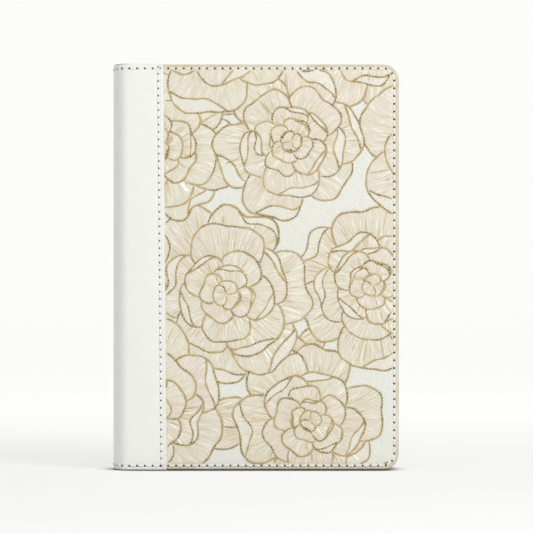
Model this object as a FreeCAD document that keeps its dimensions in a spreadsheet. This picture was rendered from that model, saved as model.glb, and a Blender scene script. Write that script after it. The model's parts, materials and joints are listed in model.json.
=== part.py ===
"""A prayer book in a soft stitched cover, standing on its tail edge, in millimetres.

+Z is up, the front cover faces -Y and the spine is on the -X side. The origin is at the bottom centre.
A piece lies at a depth below the white strip's outer face, so the front and back covers share one function.
"""

import FreeCAD, Part
import Sketcher
import math
import os
from FreeCAD import Matrix, Placement, Vector

DRIVING_SIZES = [
    ("cover_width", 151.0, "whole book along X, from the spine's crown to the fore edge"),
    ("cover_height", 215.0, "whole book along Z, from tail to head"),
    ("corner_round", 8.5, "radius of the two fore edge corners of a cover"),
    ("edge_round", 0.6, "rounding of a panel's turned edges"),
    ("skin_thick", 0.8, "cover leather of the panels and of the spine"),
    ("board_thick", 1.0, "soft card inside a cover"),
    ("turn_in_thick", 0.4, "pared leather turned over the card"),
    ("turn_in_width", 12.0, "how far the leather is turned in"),
    ("board_setback", 3.0, "from the joint line to the card"),
    ("strip_thick", 0.8, "white strip that lies over the panels"),
    ("strip_edge_thick", 0.35, "white strip where it wraps the head and the tail"),
    ("strip_head_width", 26.3, "from the spine's crown to the strip's edge, at the head"),
    ("strip_tail_width", 28.1, "the same at the tail, where the strip is wider"),
    ("spine_depth", 8.5, "how far the rounded spine stands out past the joint line"),
    ("joint_gap", 0.2, "from the joint line to the pieces each side of it"),
    ("stiffener_thick", 0.5, "card inside the spine"),
    ("hollow_gap", 0.4, "hollow between the spine card and the backed leaves"),
    ("shoulder_gap", 0.3, "the same hollow at the shoulders"),
    ("paper_thick", 0.3, "paper lining glued down the backs of the sections"),
    ("mull_thick", 0.3, "open cloth glued under that paper"),
    ("glue_thick", 0.15, "glue between the folds and the cloth"),
    ("seat_gap", 0.05, "between curved layers glued face to face"),
    ("section_thick", 1.45, "one folded section of thin leaves"),
    ("leaf_gap", 0.1, "between leaves that turn apart"),
    ("flyleaf_thick", 0.25, "free endpaper"),
    ("pastedown_thick", 0.15, "endpaper pasted inside a cover"),
    ("fore_square", 3.5, "how far a cover reaches past the leaves at the fore edge"),
    ("head_square", 3.5, "the same at the head"),
    ("tail_square", 3.5, "the same at the tail"),
    ("page_round", 5.0, "rounded corners of the leaves"),
    ("band_thick", 1.8, "bead of the head band and the tail band"),
    ("stitch_pitch", 4.1, "from one needle hole to the next"),
    ("stitch_inset", 2.5, "edge stitching, from the edge of the cover"),
    ("strip_stitch_inset", 2.7, "strip stitching, from the edge of the strip"),
    ("thread_thick", 0.7, "stitching thread, half of it above the leather"),
    ("hole_gap", 0.8, "bare needle hole between two stitches"),
    ("sewing_thick", 0.2, "thread that sews the sections together"),
    ("sewing_length", 14.0, "one sewing stitch along the fold"),
]
TURNING_PAIR_COUNT = 3  # pairs of sections that turn with each cover
STILL_SECTION_COUNT = 4
SEWING_STATION_COUNT = 5
FOLD_FULLNESS = 0.49  # a fold's rounding, as a share of a section's thickness

doc = FreeCAD.newDocument("prayer_book")
sheet = doc.addObject("Spreadsheet::Sheet", "Sizes")
for row, (alias, number, meaning) in enumerate(DRIVING_SIZES, start=1):
    sheet.set(f"A{row}", alias)
    sheet.set(f"B{row}", str(number))
    sheet.setAlias(f"B{row}", alias)
    sheet.set(f"C{row}", meaning)
doc.recompute()


def cell(alias):
    return f"Sizes.{alias}"


# Formulas that several pieces share, each worked out from the sheet
TURNING_COUNT = 2 * TURNING_PAIR_COUNT
SECTION_COUNT = 2 * TURNING_COUNT + STILL_SECTION_COUNT
LAST_STILL = TURNING_COUNT + STILL_SECTION_COUNT
HEIGHT = cell("cover_height")
JOINT_X = f"(-{cell('cover_width')}/2 + {cell('spine_depth')})"
FORE_X = f"({cell('cover_width')}/2)"
COVER_THICK = f"({cell('skin_thick')} + {cell('board_thick')} + {cell('turn_in_thick')})"
HALF_SECTIONS = f"({SECTION_COUNT}*{cell('section_thick')}/2)"
BLOCK_HALF = f"({HALF_SECTIONS} + {TURNING_PAIR_COUNT}*{cell('leaf_gap')})"
ENDPAPERS = f"({cell('pastedown_thick')} + {cell('flyleaf_thick')} + 2*{cell('leaf_gap')})"
BOOK_HALF = f"({BLOCK_HALF} + {ENDPAPERS} + {COVER_THICK} + {cell('strip_thick')})"
LEAF_LOW = f"({cell('tail_square')})"
LEAF_HEIGHT = f"({HEIGHT} - {cell('tail_square')} - {cell('head_square')})"
LEAF_FORE_X = f"({FORE_X} - {cell('fore_square')})"

# The backed leaves: an arc clear of the spine card's inner ellipse at the crown and at the shoulders
CARD_X = f"({cell('spine_depth')} - {cell('skin_thick')} - {cell('stiffener_thick')} - {cell('seat_gap')})"
CARD_Y = f"({BOOK_HALF} - {cell('skin_thick')} - {cell('stiffener_thick')} - {cell('seat_gap')})"
BACK_CROWN = f"({CARD_X} - {cell('hollow_gap')})"
BACK_SHOULDER = f"({CARD_X}*sqrt(1 - ({BLOCK_HALF}/{CARD_Y})^2) - {cell('shoulder_gap')})"
BACK_SAG = f"({BACK_CROWN} - {BACK_SHOULDER})"
PAPER_RADIUS = f"(({BLOCK_HALF}^2 + {BACK_SAG}^2)/(2*{BACK_SAG}))"
MULL_RADIUS = f"({PAPER_RADIUS} - {cell('paper_thick')})"
GLUE_RADIUS = f"({MULL_RADIUS} - {cell('mull_thick')})"
FOLD_RADIUS = f"({GLUE_RADIUS} - {cell('glue_thick')})"
BACK_CENTRE_X = f"({JOINT_X} - {BACK_CROWN} + {PAPER_RADIUS})"


def value(expression):
    """The number that a formula gives."""
    result = sheet.evalExpression(expression)
    return float(getattr(result, "Value", result))


# Building blocks


def origin_plane(body, role):
    return next(f for f in body.Origin.OriginFeatures if f.Role == role)


def outline(body, name, role, offset, points, corner=None):
    """A closed sketch through points, each a pair of formulas, on an origin plane moved by offset.

    A corner radius rounds the two right corners of a rectangle, which are its second and third points.
    """
    sketch = body.newObject("Sketcher::SketchObject", name)
    sketch.AttachmentSupport = [(origin_plane(body, role), "")]
    sketch.MapMode = "FlatFace"
    sketch.setExpression("AttachmentOffset.Base.z", offset)
    arcs = ()
    if corner:
        points, arcs = with_round_corners(points, corner)
    places = [Vector(value(across), value(up), 0) for across, up in points]
    count = len(places)
    for k in range(count):
        start, end = places[k], places[(k + 1) % count]
        sketch.addGeometry(quarter_arc(start, end) if k in arcs else Part.LineSegment(start, end), False)
    for k in range(count):
        sketch.addConstraint(Sketcher.Constraint("Coincident", k, 2, (k + 1) % count, 1))
    for k in arcs:
        index = sketch.addConstraint(Sketcher.Constraint("Radius", k, value(corner)))
        sketch.setExpression(f"Constraints[{index}]", corner)
    for k, (across, up) in enumerate(points):
        for kind, formula, number in (("DistanceX", across, places[k].x), ("DistanceY", up, places[k].y)):
            index = sketch.addConstraint(Sketcher.Constraint(kind, -1, 1, k, 1, number))
            sketch.setExpression(f"Constraints[{index}]", formula)
    return sketch


def with_round_corners(points, corner):
    """The same rectangle with its right corners cut, and which of its edges are arcs."""
    left_low, (right, low), (_, high), left_high = points
    cut_points = [
        left_low,
        (f"({right} - {corner})", low),
        (right, f"({low} + {corner})"),
        (right, f"({high} - {corner})"),
        (f"({right} - {corner})", high),
        left_high,
    ]
    return cut_points, (1, 3)


def quarter_arc(start, end):
    """The anticlockwise quarter of a circle from start to end."""
    half_chord = (end - start) * 0.5
    outward = Vector(half_chord.y, -half_chord.x, 0)
    middle = start + half_chord + outward * (math.sqrt(2) - 1)
    return Part.Arc(start, middle, end)


def rectangle(left, right, low, high):
    return [(left, low), (right, low), (right, high), (left, high)]


def pad(body, sketch, length):
    feature = body.newObject("PartDesign::Pad", sketch.Name + "_pad")
    feature.Profile = sketch
    feature.setExpression("Length", length)
    return feature


def pocket(body, sketch, length):
    feature = body.newObject("PartDesign::Pocket", sketch.Name + "_pocket")
    feature.Profile = sketch
    feature.setExpression("Length", length)
    return feature


def round_edges(body, base, radius, chosen):
    """Rounds the edges of base that chosen accepts."""
    doc.recompute()
    names = [f"Edge{k}" for k, edge in enumerate(base.Shape.Edges, start=1) if chosen(edge)]
    feature = body.newObject("PartDesign::Fillet", base.Name + "_round")
    feature.Base = (base, names)
    feature.setExpression("Radius", radius)
    return feature


def near(a, b):
    return abs(a - b) < 1e-4


def edge_runs(edge, axis):
    """True for a straight edge along that axis, 0 for X, 1 for Y or 2 for Z."""
    first, last = edge.Vertexes[0].Point, edge.Vertexes[-1].Point
    return edge.Curve.TypeId == "Part::GeomLine" and all(
        near(first[k], last[k]) for k in range(3) if k != axis
    )


def new_body(label):
    body = doc.addObject("PartDesign::Body", label)
    body.Label = label
    return body


def solid_box(name, x_range, y_range, z_range):
    """A box between formulas along each axis."""
    box = doc.addObject("Part::Box", name)
    for size, place, (low, high) in zip(("Length", "Width", "Height"), "xyz", (x_range, y_range, z_range)):
        box.setExpression(size, f"({high}) - ({low})")
        box.setExpression(f"Placement.Base.{place}", low)
    return box


def cut(name, base, tool):
    feature = doc.addObject("Part::Cut", name)
    feature.Base, feature.Tool = base, tool
    return feature


def common(name, base, tool):
    feature = doc.addObject("Part::Common", name)
    feature.Base, feature.Tool = base, tool
    return feature


def named(feature, label):
    feature.Label = label
    return feature


def depth_range(side, shallow, deep):
    """The Y range, as formulas, of what lies between two depths below the strip's outer face."""
    if side == "front":
        return f"(-{BOOK_HALF} + {shallow})", f"(-{BOOK_HALF} + {deep})"
    return f"({BOOK_HALF} - {deep})", f"({BOOK_HALF} - {shallow})"


def face_y(side, depth):
    """Where a face at that depth lies along Y."""
    return value(depth_range(side, depth, depth)[0])


def cover_plate(body, name, side, shallow, deep, points, corner=None):
    """A plate in a cover: a front view outline, as thick as the two depths are apart."""
    low, high = depth_range(side, shallow, deep)
    sketch = outline(body, name, "XZ_Plane", f"-({high})", points, corner)
    return pad(body, sketch, f"({high}) - ({low})")


def cover_recess(body, name, side, shallow, deep, points, corner=None):
    """The same shape taken out of a cover's piece."""
    low, high = depth_range(side, shallow, deep)
    sketch = outline(body, name, "XZ_Plane", f"-({low})", points, corner)
    return pocket(body, sketch, f"({high}) - ({low})")


# The covers

STRIP_DEPTH = cell("strip_thick")
BOARD_TOP = f"({STRIP_DEPTH} + {cell('skin_thick')})"
BOARD_BOTTOM = f"({BOARD_TOP} + {cell('board_thick')})"
COVER_BOTTOM = f"({STRIP_DEPTH} + {COVER_THICK})"
PASTEDOWN_BOTTOM = f"({COVER_BOTTOM} + {cell('pastedown_thick')})"
HINGE_SIDE_X = f"({JOINT_X} + {cell('joint_gap')})"
PANEL_LOW = cell("strip_edge_thick")
PANEL_HIGH = f"({HEIGHT} - {cell('strip_edge_thick')})"
BOARD_X = f"({JOINT_X} + {cell('board_setback')})"
BOARD_FORE_X = f"({FORE_X} - {cell('skin_thick')})"
BOARD_LOW = f"({PANEL_LOW} + {cell('skin_thick')})"
BOARD_HIGH = f"({PANEL_HIGH} - {cell('skin_thick')})"
BOARD_OUTLINE = rectangle(BOARD_X, BOARD_FORE_X, BOARD_LOW, BOARD_HIGH)
BOARD_ROUND = f"({cell('corner_round')} - {cell('skin_thick')})"
LEAF_OUTLINE = rectangle(HINGE_SIDE_X, LEAF_FORE_X, LEAF_LOW, f"({LEAF_LOW} + {LEAF_HEIGHT})")
WINDOW_OUTLINE = rectangle(
    BOARD_X,
    f"({FORE_X} - {cell('turn_in_width')})",
    f"({PANEL_LOW} + {cell('turn_in_width')})",
    f"({PANEL_HIGH} - {cell('turn_in_width')})",
)


def panel(side):
    """The outer leather of a cover: a face, its turned edges, and a turned-in rim round a window."""
    body = new_body(f"{side}_panel")
    points = rectangle(HINGE_SIDE_X, FORE_X, PANEL_LOW, PANEL_HIGH)
    corner = cell("corner_round")
    cover_plate(body, f"{side}_panel_face", side, STRIP_DEPTH, COVER_BOTTOM, points, corner)
    cover_recess(body, f"{side}_panel_window", side, BOARD_BOTTOM, COVER_BOTTOM, WINDOW_OUTLINE)
    shell = cover_recess(
        body, f"{side}_panel_cavity", side, BOARD_TOP, BOARD_BOTTOM, BOARD_OUTLINE, BOARD_ROUND
    )
    outer_y, joint_side = face_y(side, STRIP_DEPTH), value(HINGE_SIDE_X)

    def turned_edge(edge):
        flat = edge.BoundBox.YLength < 1e-4 and near(edge.CenterOfMass.y, outer_y)
        return flat and not near(edge.CenterOfMass.x, joint_side)

    return round_edges(body, shell, cell("edge_round"), turned_edge)


def board(side):
    """The soft card that stiffens a cover."""
    body = new_body(f"{side}_board")
    return cover_plate(
        body, f"{side}_board_face", side, BOARD_TOP, BOARD_BOTTOM, BOARD_OUTLINE, BOARD_ROUND
    )


def lining(side):
    """The sheet that fills the window inside the turned-in rim."""
    body = new_body(f"{side}_lining")
    return cover_plate(body, f"{side}_lining_face", side, BOARD_BOTTOM, COVER_BOTTOM, WINDOW_OUTLINE)


def pastedown(side):
    """The endpaper pasted inside a cover."""
    body = new_body(f"{side}_pastedown")
    return cover_plate(
        body,
        f"{side}_pastedown_face",
        side,
        COVER_BOTTOM,
        PASTEDOWN_BOTTOM,
        LEAF_OUTLINE,
        cell("page_round"),
    )


def strip(side):
    """A cover's share of the white strip, which laps over the panel and wraps its head and tail."""
    body = new_body(f"{side}_strip")
    crown = f"-{cell('cover_width')}/2"
    points = [
        (HINGE_SIDE_X, "0"),
        (f"({crown} + {cell('strip_tail_width')})", "0"),
        (f"({crown} + {cell('strip_head_width')})", HEIGHT),
        (HINGE_SIDE_X, HEIGHT),
    ]
    cover_plate(body, f"{side}_strip_face", side, "0", COVER_BOTTOM, points)
    room = rectangle(f"({HINGE_SIDE_X} - {cell('joint_gap')})", FORE_X, PANEL_LOW, PANEL_HIGH)
    return cover_recess(body, f"{side}_strip_room", side, STRIP_DEPTH, COVER_BOTTOM, room)


def flyleaf(side):
    """The free endpaper, which turns by itself between a cover and the first section."""
    body = new_body(f"{side}_flyleaf")
    shallow = f"({PASTEDOWN_BOTTOM} + {cell('leaf_gap')})"
    deep = f"({shallow} + {cell('flyleaf_thick')})"
    return cover_plate(
        body, f"{side}_flyleaf_face", side, shallow, deep, LEAF_OUTLINE, cell("page_round")
    )


# The sections


def section_low_y(number):
    """The front face of a section along Y; sections are numbered from 1 at the front cover."""
    gaps = []
    for after in range(1, number):
        if after == LAST_STILL or (turns(after) and after_pair(after)):
            gaps.append(cell("leaf_gap"))
    return " + ".join([f"-{BLOCK_HALF}", f"{number - 1}*{cell('section_thick')}", *gaps])


def turns(number):
    return number <= TURNING_COUNT or number > LAST_STILL


def after_pair(number):
    """True where the section is the last of its pair that turns together."""
    if number <= TURNING_COUNT:
        return number % 2 == 0
    return (number - LAST_STILL) % 2 == 0


def fold_depth(number):
    """How far a section's fold lies behind the joint line: the rounded back's arc at its middle."""
    middle = f"({section_low_y(number)} + {cell('section_thick')}/2)"
    return f"({JOINT_X} - {BACK_CENTRE_X} + sqrt({FOLD_RADIUS}^2 - {middle}^2))"


def leaf_fore_x(number):
    """The fore edge, hollow by as much as the back is round."""
    return f"({LEAF_FORE_X} - {fold_depth(number)} + {fold_depth(1)})"


def at_fold(edge, left):
    """True for an edge up the leaves on their folded side."""
    return edge_runs(edge, 2) and near(edge.Vertexes[0].X, left)


def at_fore_corner(edge, right):
    """True for an edge across the leaves at the head or the tail of the fore edge."""
    return edge_runs(edge, 1) and near(edge.Vertexes[0].X, right)


def sheaf(body, name, number, left, right, fold, corners):
    """A stack of leaves between two places along X, with a rounded fold, rounded fore corners or both."""
    low = f"({section_low_y(number)})"
    points = rectangle(left, right, low, f"({low} + {cell('section_thick')})")
    block = pad(body, outline(body, name, "XY_Plane", LEAF_LOW, points), LEAF_HEIGHT)
    if fold:
        left_x = value(left)
        fold_round = f"({FOLD_FULLNESS}*{cell('section_thick')})"
        block = round_edges(body, block, fold_round, lambda e: at_fold(e, left_x))
    if corners:
        right_x = value(right)
        block = round_edges(body, block, cell("page_round"), lambda e: at_fore_corner(e, right_x))
    return block


def section(number):
    """One section: whole where it stays with the spine, and only its free leaves where it turns."""
    body = new_body(f"section_{number:02d}")
    left = HINGE_SIDE_X if turns(number) else f"({JOINT_X} - {fold_depth(number)})"
    return sheaf(body, f"leaves_{number:02d}", number, left, leaf_fore_x(number), not turns(number), True)


def section_folds(label, numbers):
    """The sewn folds of the sections that turn, each its own solid."""
    folds = []
    for number in numbers:
        body = new_body(f"fold_{number:02d}")
        right = f"({JOINT_X} - {cell('joint_gap')})"
        left = f"({JOINT_X} - {fold_depth(number)})"
        sheaf(body, f"fold_{number:02d}_outline", number, left, right, True, False)
        folds.append(body)
    group = doc.addObject("Part::Compound", label)
    group.Links = folds
    return named(group, label)


# The spine


def ellipse_prism(name, half_x, half_y, low, height):
    """An upright prism on an ellipse centred on the joint line, longer across the book than along X."""
    curve = doc.addObject("Part::Ellipse", name + "_curve")
    curve.setExpression("MajorRadius", half_y)
    curve.setExpression("MinorRadius", half_x)
    curve.setExpression("Placement.Base.x", JOINT_X)
    curve.setExpression("Placement.Base.z", low)
    curve.setExpression("Placement.Rotation.Angle", "90 deg")
    prism = doc.addObject("Part::Extrusion", name)
    prism.Base = curve
    prism.DirMode = "Custom"
    prism.Dir = Vector(0, 0, 1)
    prism.Solid = True
    prism.setExpression("LengthFwd", height)
    return prism


SPINE_X = (f"(-{cell('cover_width')}/2 - 1)", f"({JOINT_X} - {cell('joint_gap')})")
WIDE_Y = (f"(-{BOOK_HALF} - 1)", f"({BOOK_HALF} + 1)")


def spine_layer(label, gap, thick, low, high):
    """A curved layer of the spine, gap below its outer face."""
    height = f"({high} - {low})"
    outer_half = f"({cell('spine_depth')} - {gap})", f"({BOOK_HALF} - {gap})"
    inner_half = f"({outer_half[0]} - {thick})", f"({outer_half[1]} - {thick})"
    outer = ellipse_prism(label + "_outer", *outer_half, low, height)
    inner = ellipse_prism(label + "_inner", *inner_half, f"({low} - 1)", f"({height} + 2)")
    keep = solid_box(label + "_half", SPINE_X, WIDE_Y, (f"({low} - 1)", f"({high} + 1)"))
    return named(common(label, cut(label + "_shell", outer, inner), keep), label)


def back_layer(label, outer_radius, thick):
    """A layer glued down the rounded backs of the sections."""
    cylinders = []
    for name, radius, extra in (("outer", outer_radius, 0), ("inner", f"({outer_radius} - {thick})", 1)):
        cylinder = doc.addObject("Part::Cylinder", f"{label}_{name}")
        cylinder.setExpression("Radius", radius)
        cylinder.setExpression("Height", f"{LEAF_HEIGHT} + {2 * extra}")
        cylinder.setExpression("Placement.Base.x", BACK_CENTRE_X)
        cylinder.setExpression("Placement.Base.z", f"{LEAF_LOW} - {extra}")
        cylinders.append(cylinder)
    back_y = (f"-{BLOCK_HALF}", BLOCK_HALF)
    keep = solid_box(label + "_span", SPINE_X, back_y, ("0", HEIGHT))
    return named(common(label, cut(label + "_shell", *cylinders), keep), label)


def band(label, base_z):
    """The bead of a head or tail band: a round roll along the rounded back, on the ends of the folds."""
    bead = f"({cell('band_thick')}/2)"
    radius = f"({FOLD_RADIUS} - {bead})"
    half_angle = f"asin(({BLOCK_HALF} - {bead})/{radius})"
    torus = doc.addObject("Part::Torus", label)
    torus.setExpression("Radius1", radius)
    torus.setExpression("Radius2", bead)
    torus.setExpression("Angle3", f"2*{half_angle}")
    torus.setExpression("Placement.Base.x", BACK_CENTRE_X)
    torus.setExpression("Placement.Base.z", base_z)
    torus.setExpression("Placement.Rotation.Angle", f"180 deg - {half_angle}")
    return named(torus, label)


def sewing_threads(label):
    """Sewing stitches in the valleys between the folds, at a few stations up the back."""
    radius = value(cell("sewing_thick")) / 2
    length, pitch_z = value(cell("sewing_length")), value(LEAF_HEIGHT) / SEWING_STATION_COUNT
    arc = value(GLUE_RADIUS) - radius
    stitches = []
    for number in range(1, SECTION_COUNT):
        above = value(section_low_y(number)) + value(cell("section_thick"))
        y = (above + value(section_low_y(number + 1))) / 2
        x = value(BACK_CENTRE_X) - math.sqrt(arc**2 - y**2)
        for station in range(SEWING_STATION_COUNT):
            z = value(LEAF_LOW) + pitch_z * (station + 0.5) - length / 2
            stitches.append(Part.makeCylinder(radius, length, Vector(x, y, z)))
    return loose_group(label, stitches)


# The stitching


def loose_group(label, solids):
    group = doc.addObject("Part::Feature", label)
    group.Shape = Part.makeCompound(solids)
    return named(group, label)


def stitch(place, along, outward, length):
    """Half of a round thread, lying with its flat side on the leather."""
    radius = value(cell("thread_thick")) / 2
    rod = Part.makeCylinder(radius, length, Vector(-length / 2, 0, 0), Vector(1, 0, 0))
    upper = Part.makeBox(length, 2 * radius, radius, Vector(-length / 2, -radius, 0))
    half = rod.common(upper).Solids[0]
    across = outward.cross(along)
    half.Placement = Placement(
        Matrix(
            along.x, across.x, outward.x, place.x,
            along.y, across.y, outward.y, place.y,
            along.z, across.z, outward.z, place.z,
            0, 0, 0, 1,
        )
    )
    return half


def edge_path(distance):
    """A place and a heading in front view, that far along the edge stitching from the joint at the head."""
    inset = value(cell("stitch_inset"))
    bend = value(cell("corner_round")) - inset
    left, right = value(JOINT_X), value(FORE_X) - inset - bend
    low, high = inset + bend, value(HEIGHT) - inset - bend
    quarter = bend * math.pi / 2
    runs = [right - left, quarter, high - low, quarter, right - left]
    if distance < runs[0]:
        return Vector(left + distance, 0, high + bend), Vector(1, 0, 0)
    distance -= runs[0]
    if distance < runs[1]:
        turn = distance / bend
        return (
            Vector(right + bend * math.sin(turn), 0, high + bend * math.cos(turn)),
            Vector(math.cos(turn), 0, -math.sin(turn)),
        )
    distance -= runs[1]
    if distance < runs[2]:
        return Vector(right + bend, 0, high - distance), Vector(0, 0, -1)
    distance -= runs[2]
    if distance < runs[3]:
        turn = distance / bend
        return (
            Vector(right + bend * math.cos(turn), 0, low - bend * math.sin(turn)),
            Vector(-math.sin(turn), 0, -math.cos(turn)),
        )
    distance -= runs[3]
    return Vector(right - distance, 0, low - bend), Vector(-1, 0, 0)


def edge_path_length():
    inset = value(cell("stitch_inset"))
    bend = value(cell("corner_round")) - inset
    straight = 2 * (value(FORE_X) - inset - bend - value(JOINT_X))
    return straight + value(HEIGHT) - 2 * (inset + bend) + bend * math.pi


def strip_edge_x(z):
    """The strip's edge at a height: it slants, and is wider at the tail."""
    tail, head = value(cell("strip_tail_width")), value(cell("strip_head_width"))
    return -value(cell("cover_width")) / 2 + tail + (head - tail) * z / value(HEIGHT)


def outward_of(side):
    return Vector(0, -1 if side == "front" else 1, 0)


def stitch_count(length):
    return int(length // value(cell("stitch_pitch")))


def edge_stitches(side):
    """The stitching round a cover's head, fore edge and tail."""
    length = edge_path_length()
    count = stitch_count(length)
    pitch = length / count
    bar = pitch - value(cell("hole_gap"))
    stitches = []
    for k in range(count):
        place, along = edge_path((k + 0.5) * pitch)
        from_strip = place.x - strip_edge_x(place.z)
        if abs(from_strip) < bar / 2 + value(cell("joint_gap")) and near(along.z, 0):
            continue
        if place.x - value(JOINT_X) < bar / 2 + value(cell("joint_gap")):
            continue
        place.y = face_y(side, "0" if from_strip < 0 else STRIP_DEPTH)
        stitches.append(stitch(place, along, outward_of(side), bar))
    return loose_group(f"{side}_edge_stitches", stitches)


def strip_stitches(side):
    """The line of stitching that holds the strip's edge down."""
    inset, margin = value(cell("strip_stitch_inset")), value(cell("stitch_inset"))
    low = Vector(strip_edge_x(margin) - inset, face_y(side, "0"), 2 * margin)
    high = Vector(strip_edge_x(value(HEIGHT) - margin) - inset, low.y, value(HEIGHT) - 2 * margin)
    run = high - low
    count = stitch_count(run.Length)
    pitch = run.Length / count
    along = run.normalize()
    bar = pitch - value(cell("hole_gap"))
    places = [low + along * (pitch * (k + 0.5)) for k in range(count)]
    stitches = [stitch(place, along, outward_of(side), bar) for place in places]
    return loose_group(f"{side}_strip_stitches", stitches)


def spine_stitches(label):
    """The head and tail stitching where it runs round the spine."""
    half_x, half_y = value(cell("spine_depth")), value(BOOK_HALF)
    bar = value(cell("stitch_pitch")) - value(cell("hole_gap"))
    arc = Part.Ellipse(Vector(0, half_y, 0), Vector(half_x, 0, 0), Vector(0, 0, 0))
    quarter = arc.length(0, math.pi / 2)
    count = stitch_count(2 * quarter)
    stitches = []
    for z in (value(cell("stitch_inset")), value(HEIGHT) - value(cell("stitch_inset"))):
        for k in range(count):
            from_crown = (k + 0.5) * 2 * quarter / count - quarter
            angle = ellipse_angle(half_x, half_y, abs(from_crown))
            way = math.copysign(1, from_crown)
            place = Vector(value(JOINT_X) - half_x * math.cos(angle), way * half_y * math.sin(angle), z)
            along = Vector(half_x * math.sin(angle), way * half_y * math.cos(angle), 0).normalize()
            outward = Vector(-half_y * math.cos(angle), way * half_x * math.sin(angle), 0).normalize()
            if place.x + abs(along.x) * bar / 2 < value(JOINT_X) - value(cell("joint_gap")):
                stitches.append(stitch(place, along, outward, bar))
    return loose_group(label, stitches)


def ellipse_angle(half_x, half_y, distance, steps=400):
    """The parameter at which that distance has been run from the crown of the spine's ellipse."""
    run, angle, step = 0.0, 0.0, math.pi / 2 / steps
    while run < distance and angle < math.pi / 2:
        middle = angle + step / 2
        run += step * math.hypot(half_x * math.sin(middle), half_y * math.cos(middle))
        angle += step
    return angle


# The whole book

sub_parts = []
for side in ("front", "back"):
    for make in (panel, board, lining, pastedown, strip, flyleaf):
        make(side)
        sub_parts.append(f"{side}_{make.__name__}")
for number in range(1, SECTION_COUNT + 1):
    section(number)
    sub_parts.append(f"section_{number:02d}")
front_folds = range(1, TURNING_COUNT + 1)
back_folds = range(SECTION_COUNT - TURNING_COUNT + 1, SECTION_COUNT + 1)
section_folds("front_section_folds", front_folds)
section_folds("back_section_folds", back_folds)
spine_layer("spine_skin", "0", cell("skin_thick"), "0", HEIGHT)
STIFFENER_GAP = f"({cell('skin_thick')} + {cell('seat_gap')})"
STIFFENER_HIGH = f"({HEIGHT} - {cell('skin_thick')})"
spine_layer("spine_stiffener", STIFFENER_GAP, cell("stiffener_thick"), cell("skin_thick"), STIFFENER_HIGH)
back_layer("spine_paper", PAPER_RADIUS, f"({cell('paper_thick')} - {cell('seat_gap')})")
back_layer("spine_mull", MULL_RADIUS, f"({cell('mull_thick')} - {cell('seat_gap')})")
band("head_band", f"{LEAF_LOW} + {LEAF_HEIGHT} + {cell('band_thick')}/2")
band("tail_band", f"{LEAF_LOW} - {cell('band_thick')}/2")
sewing_threads("sewing_threads")
spine_stitches("spine_stitches")
for side in ("front", "back"):
    edge_stitches(side)
    strip_stitches(side)
    sub_parts += [f"{side}_edge_stitches", f"{side}_strip_stitches"]
sub_parts += ["front_section_folds", "back_section_folds", "spine_skin", "spine_stiffener"]
sub_parts += ["spine_paper", "spine_mull", "head_band", "tail_band", "sewing_threads", "spine_stitches"]

doc.recompute()
for thing in doc.Objects:
    if "Invalid" in thing.State or "Error" in thing.State:
        raise SystemExit(f"{thing.Label} failed: {thing.State}")

os.makedirs("parts", exist_ok=True)
for label in sub_parts:
    shape = doc.getObjectsByLabel(label)[0].Shape
    if shape.isNull() or not shape.isValid() or not shape.Solids:
        raise SystemExit(f"{label} has no valid solid")
    shape.exportStep(f"parts/{label}.step")
    print(f"{label}: {len(shape.Solids)} solids, {shape.Volume:.1f} mm3")
axis_y = value(f"{BOOK_HALF} + {cell('thread_thick')}/2 + {cell('leaf_gap')}")
print(f"covers and leaves turn about x {value(JOINT_X):.3f}, y -{axis_y:.3f} or y {axis_y:.3f}")
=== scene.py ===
"""A prayer book in a soft stitched cover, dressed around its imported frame.

Shapes are worked out in millimetres and put into their meshes in metres. A cover's shapes are worked out as
(x, out, z), where out is the distance from the middle of the book, and then placed at the front or the back.
"""

import functools
import json
import math

import bpy
import mathutils
import numpy as np
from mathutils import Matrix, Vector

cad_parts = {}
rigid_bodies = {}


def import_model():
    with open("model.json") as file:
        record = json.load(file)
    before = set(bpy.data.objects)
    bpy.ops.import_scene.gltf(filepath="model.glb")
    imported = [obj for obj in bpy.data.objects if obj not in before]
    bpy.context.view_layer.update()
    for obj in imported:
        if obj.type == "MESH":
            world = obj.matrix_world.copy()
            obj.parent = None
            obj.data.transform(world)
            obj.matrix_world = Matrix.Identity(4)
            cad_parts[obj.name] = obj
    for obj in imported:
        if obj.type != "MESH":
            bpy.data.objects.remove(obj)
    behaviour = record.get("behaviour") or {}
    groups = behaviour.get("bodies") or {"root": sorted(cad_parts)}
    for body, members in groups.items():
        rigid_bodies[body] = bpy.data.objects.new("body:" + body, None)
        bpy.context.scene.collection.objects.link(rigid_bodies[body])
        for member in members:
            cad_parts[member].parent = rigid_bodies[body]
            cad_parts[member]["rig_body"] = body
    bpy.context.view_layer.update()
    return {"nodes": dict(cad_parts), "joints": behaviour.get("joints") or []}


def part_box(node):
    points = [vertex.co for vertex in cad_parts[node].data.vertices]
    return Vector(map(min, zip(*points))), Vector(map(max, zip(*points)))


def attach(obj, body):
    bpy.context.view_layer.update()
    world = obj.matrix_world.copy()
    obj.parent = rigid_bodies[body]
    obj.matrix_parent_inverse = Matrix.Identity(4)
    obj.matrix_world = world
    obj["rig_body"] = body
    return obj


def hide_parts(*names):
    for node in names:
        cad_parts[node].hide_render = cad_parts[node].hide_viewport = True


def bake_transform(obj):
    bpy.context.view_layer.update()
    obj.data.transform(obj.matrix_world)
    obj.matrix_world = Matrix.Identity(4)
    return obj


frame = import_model()

MM = 0.001
TAU = 2 * math.pi
SIDES = {"front": -1, "back": 1}


def box_mm(node):
    """The lowest and highest corner of a node of the frame, in millimetres."""
    low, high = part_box(node)
    return np.array(low) / MM, np.array(high) / MM


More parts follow.
